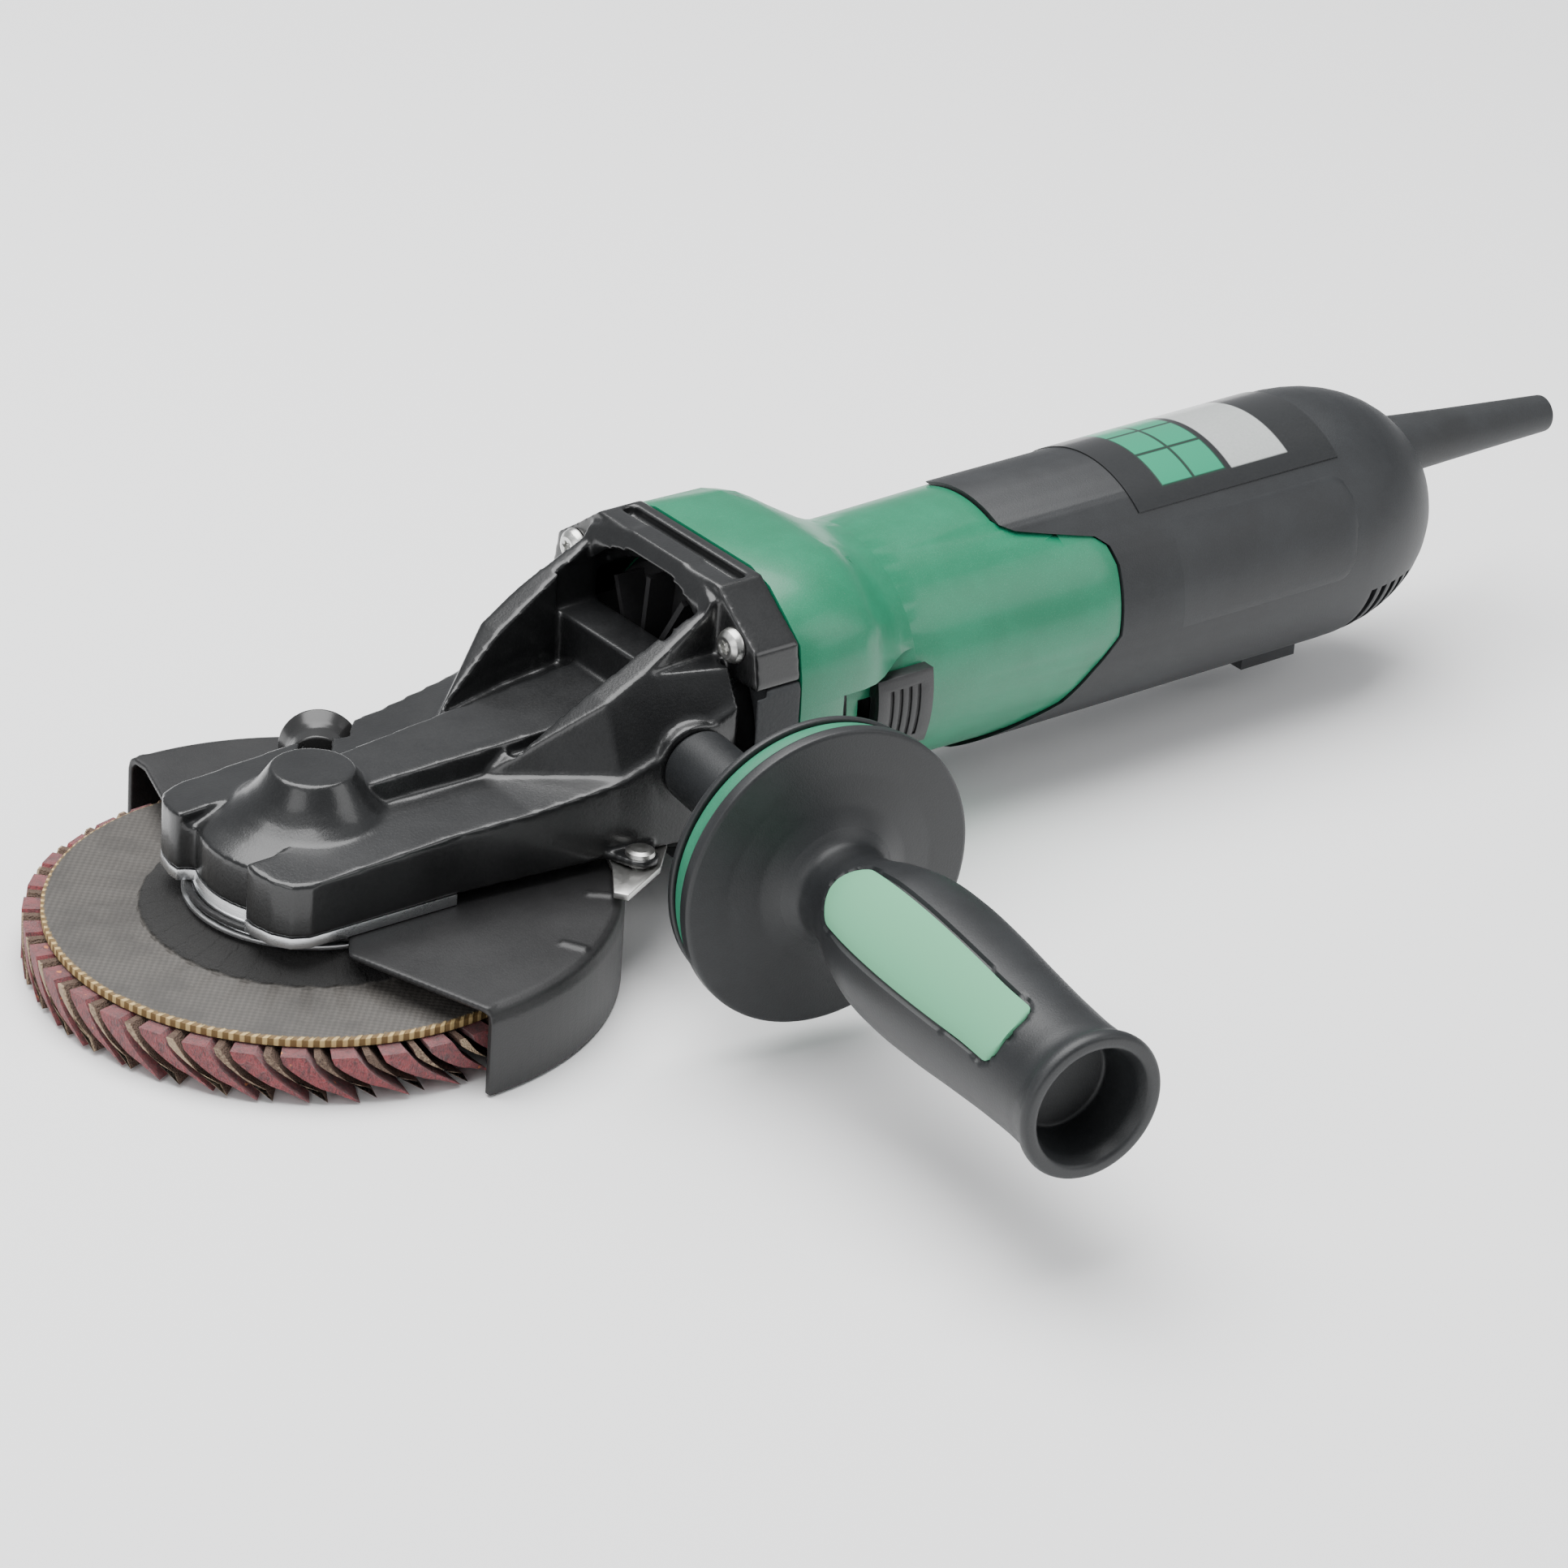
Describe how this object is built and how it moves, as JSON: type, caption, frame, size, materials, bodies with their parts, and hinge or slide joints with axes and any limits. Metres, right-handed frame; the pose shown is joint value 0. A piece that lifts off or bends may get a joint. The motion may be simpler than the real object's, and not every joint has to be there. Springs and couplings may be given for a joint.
{
  "type": "angle grinder",
  "caption": "Flat-head electric angle grinder with a flap disc, sheet guard, side handle with hand disc and a bend sleeve for its cord",
  "frame": {"origin": "centre of the spindle's free end face", "axes": "+Z is the spindle axis pointing away from the work, +X runs from the spindle to the rear of the tool, +Y is the side away from the side handle"},
  "size_m": [0.4297, 0.2638, 0.0788],
  "materials": {
    "black_casting": "satin black powder coat on die-cast metal",
    "machined_aluminium": "turned and milled, fine tool marks",
    "zinc_steel": "zinc plated",
    "rough_dark_plastic": "coarse grained moulding",
    "ground_steel": "ground",
    "gear_steel": "hardened and lightly oiled",
    "bearing_steel": "ground rings with dark seals",
    "fibre_plate": "woven glass fibre in resin",
    "maroon_flaps": "overlapping abrasive fleece and cloth flaps",
    "blackened_steel": "black oxide",
    "gloss_black": "glossy moulded plastic",
    "spring_steel": "drawn wire",
    "guard_paint": "fine textured black paint on sheet steel",
    "laminated_iron": "stacked sheets",
    "copper": "varnished copper",
    "fan_plastic": "glass filled moulding",
    "black_rubber": "moulded rubber",
    "carbon": "pressed carbon",
    "brass": "pressed sheet",
    "green_plastic": "green moulding with fine metallic fleck",
    "dark_plastic": "fine grained moulding",
    "label_film": "blank printed film",
    "switch_black": "ribbed moulding",
    "sleeve_rubber": "soft moulded rubber",
    "green_rubber": "soft green elastomer",
    "handle_plastic": "grained moulding",
    "soft_green": "soft green elastomer"
  },
  "bodies": {
    "machine": {"gear_housing": "black_casting", "bearing_cover": "machined_aluminium", "cover_screws": "zinc_steel", "case_screws": "zinc_steel", "air_guide": "rough_dark_plastic", "spindle_lower_bearing": "bearing_steel", "spindle_upper_bearing": "bearing_steel", "lock_spring": "spring_steel", "lever_rivet": "zinc_steel", "layshaft_front_bearing": "bearing_steel", "layshaft_rear_bearing": "bearing_steel", "motor_front_bearing": "bearing_steel", "motor_rear_bearing": "bearing_steel", "bearing_sleeve": "black_rubber", "stator": "laminated_iron", "field_coils": "copper", "air_baffle": "fan_plastic", "carbon_brushes": "carbon", "brush_holders": "brass", "motor_housing": "green_plastic", "rear_housing": "dark_plastic", "rear_screws": "zinc_steel", "label_plate": "label_film", "switch_block": "switch_black", "control_tray": "fan_plastic", "control_potting": "black_rubber", "cord_clamp": "dark_plastic", "cord_sleeve": "sleeve_rubber", "handle_stud": "zinc_steel", "handle_neck": "dark_plastic", "damping_ring": "green_rubber", "handle_grip": "handle_plastic", "grip_inlay": "soft_green"},
    "spindle_line": {"spindle": "ground_steel", "crown_gear": "gear_steel", "inner_flange": "ground_steel", "backing_plate": "fibre_plate", "flap_pack": "maroon_flaps", "clamping_nut": "blackened_steel"},
    "layshaft_line": {"layshaft": "ground_steel", "bevel_pinion": "gear_steel", "layshaft_gear": "gear_steel"},
    "armature": {"armature_shaft": "ground_steel", "armature_core": "laminated_iron", "armature_coils": "copper", "commutator": "copper", "cooling_fan": "fan_plastic"},
    "lock": {"lock_pin": "ground_steel", "lock_button": "gloss_black"},
    "guard_body": {"guard": "guard_paint"},
    "lever": {"guard_lever": "zinc_steel"},
    "slide": {"slide_switch": "switch_black", "switch_rod": "switch_black"}
  },
  "joints": [
    {"name": "spindle_spin", "type": "hinge", "parent": "machine", "child": "spindle_line", "pos_m": [0, 0, 0.027], "axis": [0, 0, 1], "continuous": true},
    {"name": "layshaft_spin", "type": "hinge", "parent": "machine", "child": "layshaft_line", "pos_m": [0, 0, 0.027], "axis": [1, 0, 0], "continuous": true},
    {"name": "armature_spin", "type": "hinge", "parent": "machine", "child": "armature", "pos_m": [0, 0, 0.036], "axis": [1, 0, 0], "continuous": true},
    {"name": "lock_press", "type": "slide", "parent": "machine", "child": "lock", "axis": [-0.6, -0.8, 0], "range_m": [0, 0.0035], "stiffness_N_per_m": 800, "springref_m": -0.002},
    {"name": "switch_slide", "type": "slide", "parent": "machine", "child": "slide", "axis": [-1, 0, 0], "range_m": [0, 0.008]},
    {"name": "guard_swivel", "type": "hinge", "parent": "machine", "child": "guard_body", "pos_m": [0, 0, 0.0154], "axis": [0, 0, 1], "range_deg": [-60, 60]},
    {"name": "lever_swing", "type": "hinge", "parent": "machine", "child": "lever", "pos_m": [0.063, -0.0359, 0.018], "axis": [0, 0, 1], "range_deg": [0, 12], "stiffness_Nm_per_rad": 0.02, "springref_deg": -10.03}
  ],
  "couplings": [
    {"joint": "layshaft_spin", "follows": "spindle_spin", "ratio": -2.8},
    {"joint": "armature_spin", "follows": "spindle_spin", "ratio": 3.0333}
  ]
}
